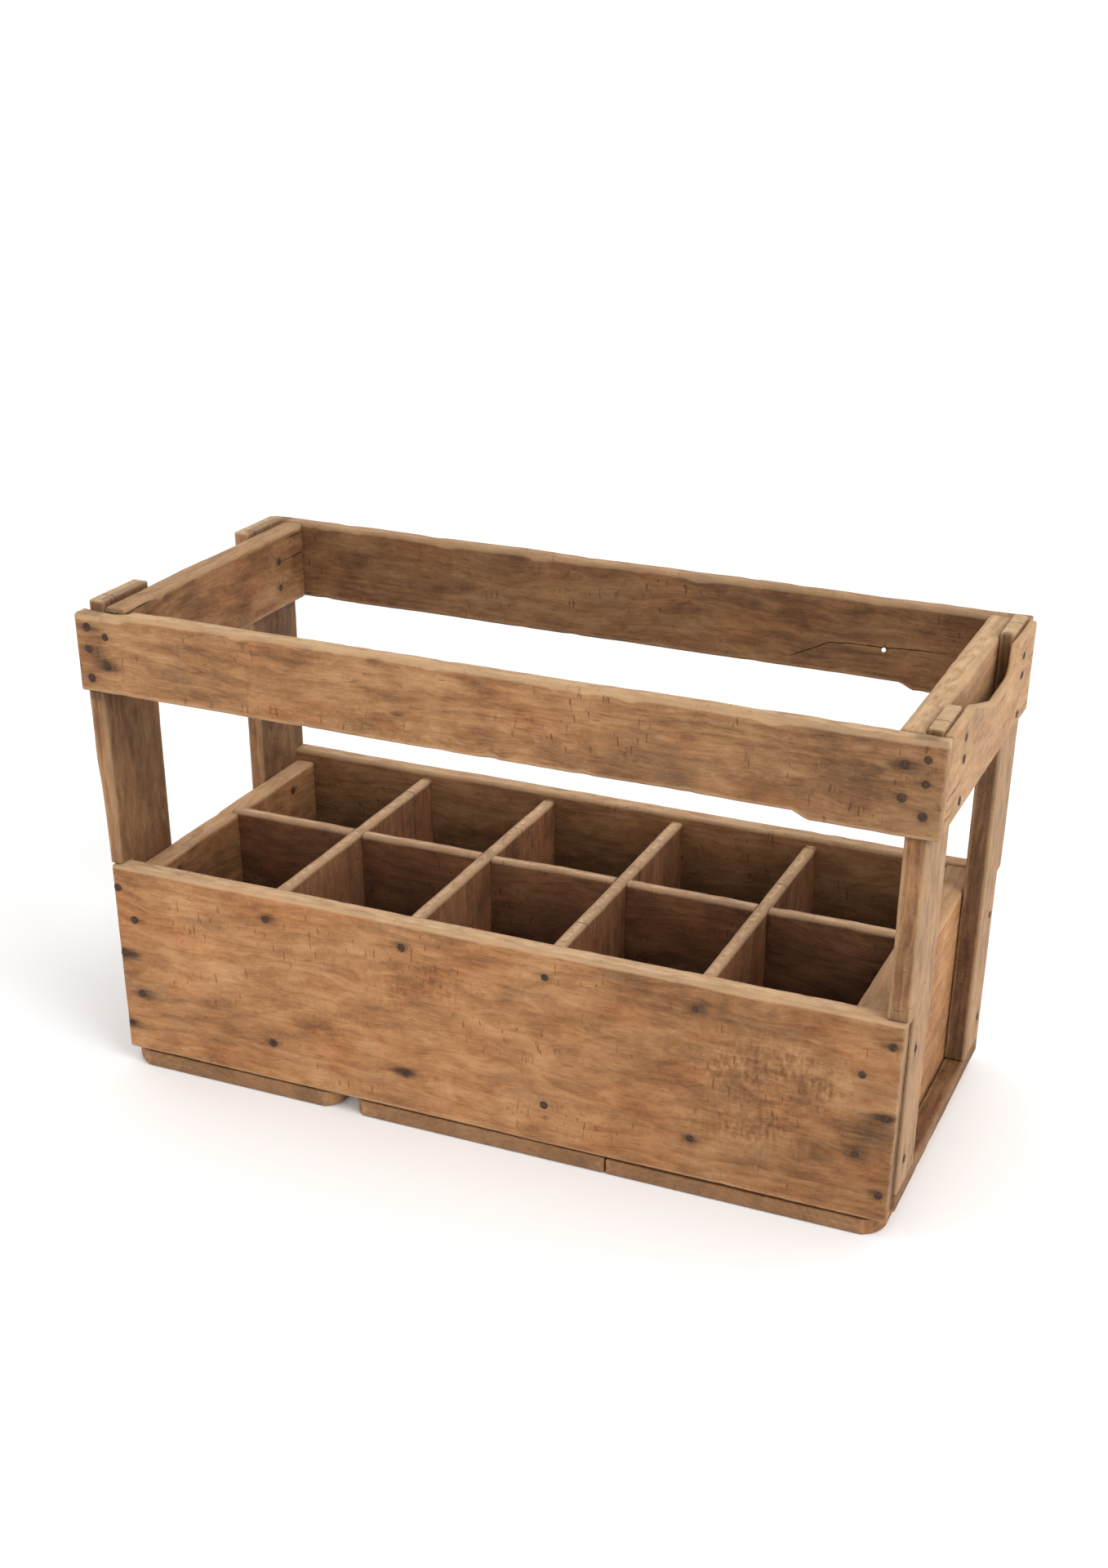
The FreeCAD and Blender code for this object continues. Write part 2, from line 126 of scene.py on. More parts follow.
node_names = sorted(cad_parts)
nail_nodes = [name for name in node_names if name.endswith("_nails")]
board_nodes = [name for name in node_names if name not in nail_nodes]
nails = {}
for name in nail_nodes:
    nails[name] = [read_nail(part) for part in loose_parts(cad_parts[name].data)]
dice = random.Random(STAIN_SEED)
for group in nails.values():
    for item in group:
        item["stain"] = dice.uniform(*STAIN_STRENGTHS)
        item["spread"] = dice.uniform(*STAIN_SPREADS)


# Boards: each is a run of rounded sections that follow the solid's own section
ARC_POINTS = 4
SIDE_STEP = 4.0 * MM
SUPPORT = 1.2 * MM
SUPPORT_SHARE = 0.25
STATION_STEP = 3.0 * MM
STEP_WIDTH = 0.06 * MM
STEP_ROOM = 0.4 * MM
STEP_AREA = 30 * MM * MM
STEP_DIGITS = 6
SQUARE_SHARE = 0.999
LEAST_RADIUS = 0.2 * MM
RADIUS_SHARE = 0.45
END_RADIUS = 1.0 * MM
END_SETBACK = 0.15 * MM
CAP_INSETS = (4.0 * MM, 2.2 * MM, END_RADIUS)
CAP_SHARE = 0.4
RIM_ANGLES = (math.radians(30), math.radians(60))
SHARP_ANGLE = math.radians(55)

# The sides of a section: bottom and top are its low and high side along the later of its two
# axes, and left and right along the earlier one. On a long board, left is its front.
BOTTOM_SIDE, RIGHT_SIDE, TOP_SIDE, LEFT_SIDE = range(4)
INWARD = (1, -1, -1, 1)

# Wear: lengths of the waves of the faces and the arrises, and the roughness of the faces
SWELL_LENGTH = 45 * MM
RIPPLE_LENGTH = 11 * MM
RUB_LENGTH = 60 * MM
CHIP_LENGTH = 14 * MM
ROUGH_LENGTH = 9 * MM
ROUGH_DEPTH = 0.12 * MM

# Reach of the masks that the wood reads
ARRIS_REACH = 1.6 * MM
# Painted contact shade and dirt near other boards fade over this reach
CONTACT_SHADE_REACH = 0.8 * MM
TOP_REACH = 1.5 * MM
SPOT_DEPTH = 2.5 * MM
HEAD_REACH = 3 * MM
STAIN_LENGTH = 9 * MM
STAIN_WIDTH_SHARE = 0.46
# Strength of the painted light on the pale sides
PAINTED_LIGHT_SHARE = 0.45
# Shift of a board's grain in metres: a place along the tree, and its pith aside of the board and below it
PITH_RANGES = ((-9, 9), (-0.03, 0.03), (0.04, 0.09))

# Cracks, and short splits at the ends of a board, with lengths in millimetres
CRACK_REACH = 6.0 * MM
CRACK_TAPER = 10 * MM
CHECK_SEED = 500
CHECK_OVERRUN = 12 * MM
CHECK_LENGTHS = (10, 45)
CHECK_DRIFTS = (-1.5, 1.5)
CHECK_LANE_SHARES = (0.35, 0.65)

# A mark on the front of a board: its place along and up the crate, its reach along and
# across the grain, all in millimetres, and its strength
Mark = namedtuple("Mark", "along up length height strength")
# A worn hollow in one side of a board, in millimetres along its run
Dip = namedtuple("Dip", "side centre reach depth")


def triangle_corners(node):
    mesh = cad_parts[node].data
    mesh.calc_loop_triangles()
    points = np.array([vert.co for vert in mesh.vertices])
    return points[np.array([triangle.vertices for triangle in mesh.loop_triangles])]


def section_bounds(corners, run, place):
    """Lowest and highest point of a solid's section at a place along its run."""
    following = np.roll(corners, -1, axis=1)
    before = corners[..., run] - place
    after = following[..., run] - place
    crossed = before * after < 0
    share = before[crossed] / (before[crossed] - after[crossed])
    cut = corners[crossed] + share[:, None] * (following[crossed] - corners[crossed])
    return cut.min(axis=0), cut.max(axis=0)


def step_places(corners, run):
    """Places along the run where the solid has a flat face square to it."""
    normals = np.cross(corners[:, 1] - corners[:, 0], corners[:, 2] - corners[:, 0]) / 2
    areas = np.linalg.norm(normals, axis=1)
    square = (np.abs(normals[:, run]) > SQUARE_SHARE * areas) & (areas > 0)
    totals = {}
    for place, area in zip(np.round(corners[square, 0, run], STEP_DIGITS), areas[square]):
        totals[place] = totals.get(place, 0.0) + area
    return sorted(place for place, area in totals.items() if area > STEP_AREA)


def wander(*place):
    """Smooth noise from -1 to 1."""
    return noise.noise(Vector(place))


class Board:
    """One plank: its mesh, and what the wood shader needs to know at each of its points.

    Waves, arrises and chips are in millimetres, and a wave is given for each side.
    """

    def __init__(self, node, slot, run, grain, seed, wave, arris, chip, soot_and_shade=None, tone=0.0, bare=0.0,
                 contact_shade_and_dirt=0.45, dips=(), marks=(), curls=(), cracks=(), checks=2, painted_light=()):
        self.node = node
        self.slot = slot
        self.run = run
        self.across = [axis for axis in (X, Y, Z) if axis != run]
        self.grain = grain
        self.seed = seed
        self.wave = [value * MM for value in wave]
        self.arris = arris * MM
        self.chip = chip * MM
        self.soot_and_shade = soot_and_shade
        self.tone = tone
        self.bare = bare
        self.contact_shade_and_dirt = contact_shade_and_dirt
        self.dips = dips
        self.marks = marks
        self.curls = curls
        self.painted_light = painted_light
        self.corners = triangle_corners(node)
        self.low, self.high = (np.array(corner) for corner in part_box(node))
        # The wider of the two directions across the grain lies across the face of the board
        spans = self.high - self.low
        crosswise = [axis for axis in (X, Y, Z) if axis != grain]
        self.face_axis, self.depth_axis = sorted(crosswise, key=lambda axis: -spans[axis])
        self.section_spans = [spans[axis] for axis in self.across]
        self.counts = [max(3, round(self.section_spans[side % 2] / SIDE_STEP)) for side in range(4)]
        self.cracks = [np.array(line) * MM for line in cracks] + self.end_checks(checks)
        self.points = []
        self.rings = []
        self.edge_distance = []
        self.sides = []

    def end_checks(self, count):
        """Short splits that run in from both ends, in lanes apart from each other."""
        dice = random.Random(self.seed + CHECK_SEED)
        low, high = self.low[self.face_axis], self.high[self.face_axis]
        lanes = max(1, int((high - low) / (2 * CRACK_REACH)))
        lines = []
        for start, way in ((self.low[self.grain], 1), (self.high[self.grain], -1)):
            for lane in dice.sample(range(lanes), min(count, lanes)):
                aside = low + (lane + dice.uniform(*CHECK_LANE_SHARES)) * (high - low) / lanes
                length = dice.uniform(*CHECK_LENGTHS) * MM
                drift = dice.uniform(*CHECK_DRIFTS) * MM
                line = [(start - way * CHECK_OVERRUN, aside), (start + way * length, aside + drift)]
                lines.append(np.array(sorted(line)))
        return lines

    def bounds(self, place):
        """The worn bounds of the section: bottom, right, top and left."""
        low, high = section_bounds(self.corners, self.run, place)
        earlier, later = self.across
        edges = [low[later], high[earlier], high[later], low[earlier]]
        for side in range(4):
            swell = 0.5 + 0.5 * wander(place / SWELL_LENGTH, self.seed * 3.7, side * 5.3)
            ripple = 0.5 + 0.5 * wander(place / RIPPLE_LENGTH, self.seed * 1.9, side * 2.1)
            edges[side] += INWARD[side] * self.wave[side] * (0.75 * swell + 0.25 * ripple)
        for dip in self.dips:
            near = abs(place - dip.centre * MM) / (dip.reach * MM)
            if near < 1:
                edges[dip.side] += INWARD[dip.side] * dip.depth * MM * (1 - near ** 4)
        return edges

    def radii(self, place):
        """The radii of the four arrises: rubbed slowly along the board, and chipped here and there."""
        values = []
        for corner in range(4):
            slow = wander(place / RUB_LENGTH, self.seed + corner * 7.7, 1.3)
            fast = wander(place / CHIP_LENGTH, self.seed * 2.3, corner * 3.1)
            values.append(self.arris * (1 + 0.4 * slow) + self.chip * max(0.0, fast - 0.3))
        return values

    def side_shares(self, side, length):
        """Places of the points along one side: one close to each arris, the rest evenly."""
        near = min(SUPPORT / length, SUPPORT_SHARE)
        count = self.counts[side]
        return [near + (1 - 2 * near) * step / (count - 1) for step in range(count)]

    def ring(self, place, bounds, radii, inset):
        """Add the points of one section, drawn in by an inset."""
        bottom, right, top, left = bounds
        bottom, top = bottom + inset, top - inset
        left, right = left + inset, right - inset
        limit = RADIUS_SHARE * min(top - bottom, right - left)
        radii = [min(max(radius - inset, LEAST_RADIUS), limit) for radius in radii]
        centres = [
            (left + radii[0], bottom + radii[0]),
            (right - radii[1], bottom + radii[1]),
            (right - radii[2], top - radii[2]),
            (left + radii[3], top - radii[3]),
        ]
        outline = []
        for corner in range(4):
            arc = []
            for step in range(ARC_POINTS):
                angle = math.pi * (1 + corner / 2 + step / (ARC_POINTS - 1) / 2)
                arc.append((centres[corner][0] + radii[corner] * math.cos(angle),
                            centres[corner][1] + radii[corner] * math.sin(angle)))
            outline.append(arc)
        ring = []
        for corner in range(4):
            for point in outline[corner]:
                ring.append((point, 0.0, (corner, (corner - 1) % 4)))
            start, end = np.array(outline[corner][-1]), np.array(outline[(corner + 1) % 4][0])
            length = np.linalg.norm(end - start)
            for share in self.side_shares(corner, length):
                distance = min(share, 1 - share) * length
                ring.append((start + share * (end - start), distance, (corner, corner)))
        earlier, later = self.across
        indices = []
        for point, distance, sides in ring:
            spot = np.zeros(3)
            spot[self.run] = place
            spot[earlier], spot[later] = point
            indices.append(len(self.points))
            self.points.append(spot)
            self.edge_distance.append(distance + inset)
            self.sides.append(sides)
        self.rings.append(indices)

    def stations(self):
        """Places of the sections along the run, in pairs at the solid's steps."""
        start, end = self.low[self.run] + END_RADIUS, self.high[self.run] - END_RADIUS
        count = max(2, round((end - start) / STATION_STEP))
        places = list(np.linspace(start, end, count + 1))
        places += [start + SUPPORT, end - SUPPORT]
        for place in step_places(self.corners, self.run):
            if start < place < end:
                places = [other for other in places if abs(other - place) > STEP_ROOM]
                places += [place - STEP_WIDTH, place + STEP_WIDTH]
        return sorted(places)

    def end_rings(self, bounds, radii, outer, way):
        """Inner rings of an end, then its rounded rim."""
        limit = CAP_SHARE * min(self.section_spans)
        rings = [(outer, bounds, radii, min(inset, limit)) for inset in CAP_INSETS]
        for angle in RIM_ANGLES:
            shift = END_RADIUS * (1 - math.cos(angle))
            rings.append((outer + way * shift, bounds, radii, END_RADIUS * (1 - math.sin(angle))))
        return rings

    def build(self):
        """The plank's mesh, from end to end."""
        sections = [(place, self.bounds(place), self.radii(place)) for place in self.stations()]
        first_end, last_end = self.low[self.run] + END_SETBACK, self.high[self.run] - END_SETBACK
        for ring in self.end_rings(*sections[0][1:], first_end, 1):
            self.ring(*ring)
        for section in sections:
            self.ring(*section, 0.0)
        for ring in reversed(self.end_rings(*sections[-1][1:], last_end, -1)):
            self.ring(*ring)
        return self.mesh()

    def mesh(self):
        faces = []
        for first, second in zip(self.rings, self.rings[1:]):
            for index in range(len(first)):
                after = (index + 1) % len(first)
                faces.append((first[index], first[after], second[after], second[index]))
        faces.append(tuple(reversed(self.rings[0])))
        faces.append(tuple(self.rings[-1]))
        points = np.array(self.points)
        shift = Vector((self.seed, 0, 0))
        rough = np.array([noise.noise_vector(Vector(point / ROUGH_LENGTH) + shift) for point in points])
        points = points + ROUGH_DEPTH * rough
        mesh = bpy.data.meshes.new(self.node + "_plank")
        mesh.from_pydata(points.tolist(), [], faces)
        mesh.update()
        work = bmesh.new()
        work.from_mesh(mesh)
        bmesh.ops.recalc_face_normals(work, faces=work.faces)
        work.to_mesh(mesh)
        work.free()
        mesh.shade_smooth()
        mesh.set_sharp_from_angle(angle=SHARP_ANGLE)
        self.paint(mesh, points)
        return mesh

    def paint(self, mesh, points):
        """Store the grain's own coordinates and the masks of wear and painted light, stain, soot with
        painted shade, and cracks.
        """
        local = points - (self.low + self.high) / 2
        dice = random.Random(self.seed)
        pith = np.array([dice.uniform(*limits) for limits in PITH_RANGES])
        end_distance = np.minimum(points[:, self.run] - self.low[self.run],
                                  self.high[self.run] - points[:, self.run])
        edge = np.minimum(np.array(self.edge_distance), np.maximum(end_distance, 0))
        soot_and_shade = np.array([self.soot_and_shade_at(point, sides) for point, sides in zip(points, self.sides)])
        top = np.array([sides.count(TOP_SIDE) / 2 for sides in self.sides])
        if self.run == Z:
            top = np.clip(1 - (self.high[Z] - points[:, Z]) / TOP_REACH, 0, 1)
        # Painted light on the pale sides, where the light falls
        painted_light = np.array([sum(side in self.painted_light for side in sides) / 2 for sides in self.sides])
        offset, opening = self.crack_at(points)
        store(mesh, "grain", local[:, [self.grain, self.face_axis, self.depth_axis]] + pith)
        store(mesh, "arris", np.exp(-edge / ARRIS_REACH))
        store(mesh, "stain", self.stain_at(points))
        store(mesh, "curl", self.marks_at(points, self.curls))
        # Soot with painted shade in the cells and on shaded faces, and painted contact shade with dirt near
        # other boards
        store(mesh, "soot_and_shade", np.maximum(soot_and_shade, self.contact_shade_and_dirt * np.exp(-self.gap_at(points) / CONTACT_SHADE_REACH)))
        # The bare mask holds bare wear on the top and the painted light on the pale sides
        store(mesh, "bare", np.maximum(self.bare * top, PAINTED_LIGHT_SHARE * painted_light))
        store(mesh, "tone", np.full(len(points), self.tone))
        store(mesh, "crack_offset", offset)
        store(mesh, "crack_opening", opening)

    def gap_at(self, points):
        """Distance from each point to the nearest other board, where painted contact shade and dirt gather.
        """
        nearest = np.full(len(points), 1.0)
        for name in board_nodes:
            if name != self.node:
                low, high = (np.array(corner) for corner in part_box(name))
                outside = np.maximum(np.maximum(low - points, points - high), 0)
                nearest = np.minimum(nearest, np.linalg.norm(outside, axis=1))
        return nearest

    def crack_at(self, points):
        """Offset of each point from the nearest crack, and how far the crack is open there."""
        along, aside = points[:, self.grain], points[:, self.face_axis]
        nearest = np.full(len(points), CRACK_REACH)
        opening = np.zeros(len(points))
        for line in self.cracks:
            offset = aside - np.interp(along, line[:, 0], line[:, 1])
            inside = np.minimum(along - line[0, 0], line[-1, 0] - along) / CRACK_TAPER
            closer = (np.abs(offset) < np.abs(nearest)) & (inside > -0.5)
            nearest = np.where(closer, offset, nearest)
            opening = np.where(closer, np.clip(inside, 0, 1), opening)
        return nearest, opening * np.clip(2 - 2 * np.abs(nearest) / CRACK_REACH, 0, 1)

    def stain_at(self, points):
        """Dark stains round nail heads, and single marks on the front."""
        total = np.zeros(len(points))
        for group in nails.values():
            for nail in group:
                head = nail["head"]
                if np.all((head > self.low - HEAD_REACH) & (head < self.high + HEAD_REACH)):
                    length = STAIN_LENGTH * nail["spread"]
                    width = STAIN_WIDTH_SHARE * length
                    total += nail["stain"] * self.spot(points, head, nail["axis"], length, width)
        return np.minimum(total + self.marks_at(points, self.marks), 1.0)

    def marks_at(self, points, marks):
        """The sum of soft marks on the front of a board."""
        total = np.zeros(len(points))
        for mark in marks:
            middle = np.array([mark.along * MM, self.low[Y], mark.up * MM])
            total += mark.strength * self.spot(points, middle, Y, mark.length * MM, mark.height * MM)
        return total

    def spot(self, points, middle, axis, length, width):
        """A soft spot on the face square to an axis, longer along the grain."""
        offset = points - middle
        near = np.exp(-(offset[:, axis] / SPOT_DEPTH) ** 2)
        offset[:, axis] = 0
        along = offset[:, self.grain] / length
        offset[:, self.grain] = 0
        aside = np.linalg.norm(offset, axis=1) / width
        return near * np.exp(-along ** 2 - aside ** 2)

    def soot_and_shade_at(self, point, sides):
        if self.soot_and_shade is None:
            return 0.0
        return 0.5 * sum(self.soot_and_shade(point, side) for side in sides)


def store(mesh, name, values):
    """Keep one value or vector for each point of a mesh."""
    vector = values.ndim == 2
    layer = mesh.attributes.new(name, "FLOAT_VECTOR" if vector else "FLOAT", "POINT")
    layer.data.foreach_set("vector" if vector else "value", np.ravel(values).astype(np.float32))


# Materials
class Shader:
    """Short calls for the nodes of one material."""

    def __init__(self, name):
        self.material = bpy.data.materials.new(name)
        self.material.use_nodes = True
        self.tree = self.material.node_tree
        self.surface = self.tree.nodes["Principled BSDF"]

    def node(self, kind, inputs=(), **settings):
        made = self.tree.nodes.new(kind)
        for name, value in settings.items():
            setattr(made, name, value)
        for socket, value in dict(inputs).items():
            self.put(made.inputs[socket], value)
        return made

    def put(self, socket, value):
        if isinstance(value, bpy.types.NodeSocket):
            self.tree.links.new(value, socket)
        else:
            socket.default_value = value

    def attribute(self, name):
        made = self.node("ShaderNodeAttribute", attribute_name=name)
        return made.outputs["Vector" if name == "grain" else "Fac"]

    def math(self, operation, first, second=0.0):
        return self.node("ShaderNodeMath", {0: first, 1: second}, operation=operation).outputs[0]

    def total(self, *terms):
        """The sum of values, each times its weight."""
        result = 0.0
        for value, weight in terms:
            result = self.math("ADD", self.math("MULTIPLY", value, weight), result)
        return result

    def vector(self, operation, first, second=(0.0, 0.0, 0.0)):
        made = self.node("ShaderNodeVectorMath", {0: first, 1: second}, operation=operation)
        return made.outputs["Value" if operation == "LENGTH" else "Vector"]

    def noise(self, place, stretch, detail=2.0, roughness=0.5, shift=0.0):
        """Noise from 0 to 1 whose size differs along, across and through the board, per metre."""
        moved = self.vector("MULTIPLY", place, stretch)
        moved = self.vector("ADD", moved, (shift, shift, shift))
        made = self.node("ShaderNodeTexNoise", {"Vector": moved, "Scale": 1.0, "Detail": detail,
                                                "Roughness": roughness})
        return made.outputs

    def band(self, value, low, high, to_low=0.0, to_high=1.0):
        """A smooth step between two values."""
        made = self.node("ShaderNodeMapRange", {"Value": value, "From Min": low, "From Max": high,
                                                "To Min": to_low, "To Max": to_high},
                         interpolation_type="SMOOTHSTEP")
        return made.outputs[0]

    def ramp(self, value, *stops):
        """Colours along a value."""
        made = self.node("ShaderNodeValToRGB", {"Fac": value})
        elements = made.color_ramp.elements
        while len(elements) < len(stops):
            elements.new(0.5)
        for element, (place, colour) in zip(elements, stops):
            element.position = place
            element.color = colour
        return made.outputs["Color"]

    def mix(self, factor, first, second, blend="MIX"):
        made = self.node("ShaderNodeMix", data_type="RGBA", blend_type=blend)
        for index, value in ((0, factor), (6, first), (7, second)):
            self.put(made.inputs[index], value)
        return made.outputs[2]


RING_GAP = 4.0 * MM
RING_BEND = 0.026
CRACK_JAG = 2.4 * MM
CRACK_HALF_WIDTH = 0.45 * MM
CRACK_EDGE = 0.3 * MM
WOOD_RELIEF = 0.6 * MM
IRON_RELIEF = 0.3 * MM
# The dark colour of soot and of painted shade, which the cracks use too
SOOT_AND_SHADE = srgb(30, 21, 14)
STAIN = srgb(46, 30, 20)
BLUSH = (1.0, 0.78, 0.66, 1.0)
DARK_RUST, LIGHT_RUST = srgb(48, 33, 24), srgb(98, 64, 42)
# Weights of the layers in the figure of the wood, and its spread round its middle
MOTTLE_WEIGHT = 0.85
PATCH_WEIGHT = 0.6
FIBRE_WEIGHT = 0.26
GRIT_WEIGHT = 0.14
CURL_WEIGHT = 0.7
RING_MEAN = 0.4
FIGURE_SPREAD = 0.42


def growth(shader, place):
    """Places bent by slow noise, and growth rings round a pith below the face."""
    slow = shader.noise(place, (8, 26, 26), 3.0)["Color"]
    bend = shader.vector("SUBTRACT", slow, (0.5, 0.5, 0.5))
    bent = shader.vector("ADD", place, shader.vector("MULTIPLY", bend, (0.0, RING_BEND, RING_BEND)))
    radius = shader.vector("LENGTH", shader.vector("MULTIPLY", bent, (0.0, 1.0, 1.0)))
    phase = shader.math("FRACT", shader.math("DIVIDE", radius, RING_GAP))
    ring = shader.math("MULTIPLY", shader.band(phase, 0.1, 0.85), shader.band(phase, 0.87, 1.0, 1.0, 0.0))
    return bent, ring


def figure_layers(shader, place, bent):
    """Mottling from the size of a hand down to single fibres, and curled figure in patches."""
    layers = {
        "mottle": shader.noise(bent, (38, 76, 76), 9.0, 0.74, 1.7)["Fac"],
        "patch": shader.noise(place, (11, 17, 17), 4.0, 0.6, 4.9)["Fac"],
        "fibre": shader.noise(bent, (60, 1100, 1100), 2.0, 0.6)["Fac"],
        "streak": shader.noise(bent, (9, 300, 300), 4.0, 0.6, 3.1)["Fac"],
        "grit": shader.noise(place, (700, 1300, 1300), 2.0, 0.6, 41.0)["Fac"],
    }
    curl = shader.noise(bent, (430, 170, 170), 2.0, 0.5, 8.8)["Fac"]
    curl_patch = shader.band(shader.noise(place, (14, 24, 24), 1.0, 0.5, 31.0)["Fac"], 0.60, 0.74)
    curl_patch = shader.total((curl_patch, 0.4), (shader.attribute("curl"), 1.0))
    layers["curl"] = shader.math("MULTIPLY", shader.math("SUBTRACT", curl, 0.5), curl_patch)
    return layers


def figured(shader, layers, ring, colours, streak_weight, ring_weight):
    """The light, medium and dark colours, laid out by the figure."""
    figure = shader.total(
        (layers["mottle"], MOTTLE_WEIGHT), (layers["patch"], PATCH_WEIGHT), (layers["fibre"], FIBRE_WEIGHT),
        (layers["streak"], streak_weight), (layers["grit"], GRIT_WEIGHT), (ring, ring_weight),
        (layers["curl"], CURL_WEIGHT))
    noise_weights = MOTTLE_WEIGHT + PATCH_WEIGHT + FIBRE_WEIGHT + streak_weight + GRIT_WEIGHT
    middle = 0.5 * noise_weights + RING_MEAN * ring_weight
    figure = shader.band(figure, middle - FIGURE_SPREAD, middle + FIGURE_SPREAD)
    light, medium, dark = colours
    return shader.ramp(figure, (0.1, light), (0.5, medium), (0.92, dark))


def weathered(shader, place, colour, grey, grey_amount):
    """Redder and greyer patches."""
    blush = shader.noise(place, (17, 34, 34), 4.0, 0.6, 14.4)["Fac"]
    colour = shader.mix(shader.band(blush, 0.45, 0.72, 0.0, 0.6), colour, BLUSH, "MULTIPLY")
    weather = shader.noise(place, (16, 40, 40), 5.0, 0.65, 12.3)["Fac"]
    greyed = shader.math("MULTIPLY", shader.band(weather, 0.53, 0.74), grey_amount)
    return shader.mix(greyed, colour, grey)


def dents(shader, place, bent):
    """Masks of short dark flecks along the grain, and of nicks across it in patches."""
    fleck = shader.noise(bent, (110, 620, 620), 2.0, 0.55, 17.0)["Fac"]
    fleck_mask = shader.math("MULTIPLY", shader.band(fleck, 0.66, 0.76), 0.6)
    nick = shader.noise(place, (560, 110, 110), 1.0, 0.5, 21.0)["Fac"]
    nick_patch = shader.band(shader.noise(place, (16, 30, 30), 1.0, 0.5, 27.0)["Fac"], 0.42, 0.62)
    nick_mask = shader.math("MULTIPLY", shader.band(nick, 0.67, 0.74), nick_patch)
    return fleck_mask, nick_mask


def rubbed_and_lit(shader, place, colour, bare_colour):
    """Rubbed arrises with a painted highlight, bare top edges, and painted light on the pale faces, broken
    up by noise.
    """
    rub = shader.noise(place, (70, 240, 240), 4.0, 0.65, 5.5)["Fac"]
    # Lighter rubbed arrises: wear, with a painted highlight along them
    worn_and_highlit = shader.math("ADD", shader.attribute("arris"), shader.math("MULTIPLY", rub, 0.9))
    worn_and_highlit = shader.math("MULTIPLY", shader.band(worn_and_highlit, 0.85, 1.6), 0.35)
    colour = shader.mix(worn_and_highlit, colour, bare_colour)
    # Bare top wear, and painted light on the pale sides
    bare_and_painted_light = shader.math("MULTIPLY", shader.attribute("bare"), shader.band(rub, 0.34, 0.72, 1.0, 0.3))
    return shader.mix(bare_and_painted_light, colour, bare_colour)


def soiled_and_shaded(shader, colour, mottle, creep):
    """Soot and painted shade, and stains whose edges creep into the wood."""
    # Soot and painted shade, made patchy by the mottling
    soot_and_shade_patch = shader.band(mottle, 0.25, 0.75, 0.75, 1.0)
    colour = shader.mix(shader.math("MULTIPLY", shader.attribute("soot_and_shade"), soot_and_shade_patch), colour, SOOT_AND_SHADE)
    stain = shader.attribute("stain")
    uneven = shader.math("MULTIPLY", shader.math("SUBTRACT", creep, 0.5), 0.8)
    stain_edge = shader.band(shader.math("ADD", stain, uneven), 0.10, 0.95)
    stain_mask = shader.math("MULTIPLY", stain_edge, shader.band(stain, 0.02, 0.25))
    return shader.mix(shader.math("MULTIPLY", stain_mask, 0.88), colour, STAIN)


def crack_mask(shader, creep):
    """Cracks with jagged edges."""
    jag = shader.math("MULTIPLY", shader.math("SUBTRACT", creep, 0.5), CRACK_JAG)
    gap = shader.math("ABSOLUTE", shader.math("ADD", shader.attribute("crack_offset"), jag))
    half = shader.math("MULTIPLY", shader.attribute("crack_opening"), CRACK_HALF_WIDTH)
    return shader.band(shader.math("SUBTRACT", half, gap), 0.0, CRACK_EDGE)


def wood(name, colours, bare_colour, grey, grey_amount, streak_weight, ring_weight=0.08):
    """Dry, handled softwood, from its light, medium and dark colours."""
    shader = Shader(name)
    place = shader.attribute("grain")
    bent, ring = growth(shader, place)
    layers = figure_layers(shader, place, bent)
    fleck_mask, nick_mask = dents(shader, place, bent)
    creep = shader.noise(place, (60, 260, 260), 4.0, 0.65, 9.1)["Fac"]
    crack = crack_mask(shader, creep)
    dark = colours[-1]
    colour = figured(shader, layers, ring, colours, streak_weight, ring_weight)
    colour = weathered(shader, place, colour, grey, grey_amount)
    marked = shader.math("MAXIMUM", fleck_mask, shader.math("MULTIPLY", nick_mask, 0.7))
    colour = shader.mix(marked, colour, dark)
    colour = rubbed_and_lit(shader, place, colour, bare_colour)
    colour = shader.mix(shader.attribute("tone"), colour, dark)
    colour = soiled_and_shaded(shader, colour, layers["mottle"], creep)
    colour = shader.mix(shader.math("MULTIPLY", crack, 0.85), colour, SOOT_AND_SHADE)
    shader.put(shader.surface.inputs["Base Color"], colour)
    shader.put(shader.surface.inputs["Roughness"], shader.band(layers["fibre"], 0.2, 0.8, 0.62, 0.88))
    shader.surface.inputs["Specular IOR Level"].default_value = 0.3
    # Relief of fibres, mottling, flecks, nicks and cracks
    relief = shader.total((layers["fibre"], 0.45), (layers["mottle"], 0.5), (layers["grit"], 0.25),
                          (layers["curl"], 1.2), (fleck_mask, -0.6), (nick_mask, -1.0), (crack, -2.0))
    bump = shader.node("ShaderNodeBump", {"Height": relief, "Strength": 0.8, "Distance": WOOD_RELIEF})
    shader.put(shader.surface.inputs["Normal"], bump.outputs[0])
    return shader.material


def rusted_iron(name):
    """Dark iron with patches of rust."""
    shader = Shader(name)
    place = shader.node("ShaderNodeNewGeometry").outputs["Position"]
    patch = shader.noise(place, (600, 600, 600), 4.0, 0.6)["Fac"]
    colour = shader.mix(shader.band(patch, 0.35, 0.7), DARK_RUST, LIGHT_RUST)
    shader.put(shader.surface.inputs["Base Color"], colour)
    shader.put(shader.surface.inputs["Roughness"], shader.band(patch, 0.3, 0.7, 0.55, 0.85))
    shader.surface.inputs["Metallic"].default_value = 0.35
    bump = shader.node("ShaderNodeBump", {"Height": patch, "Strength": 0.6, "Distance": IRON_RELIEF})
    shader.put(shader.surface.inputs["Normal"], bump.outputs[0])
    return shader.material


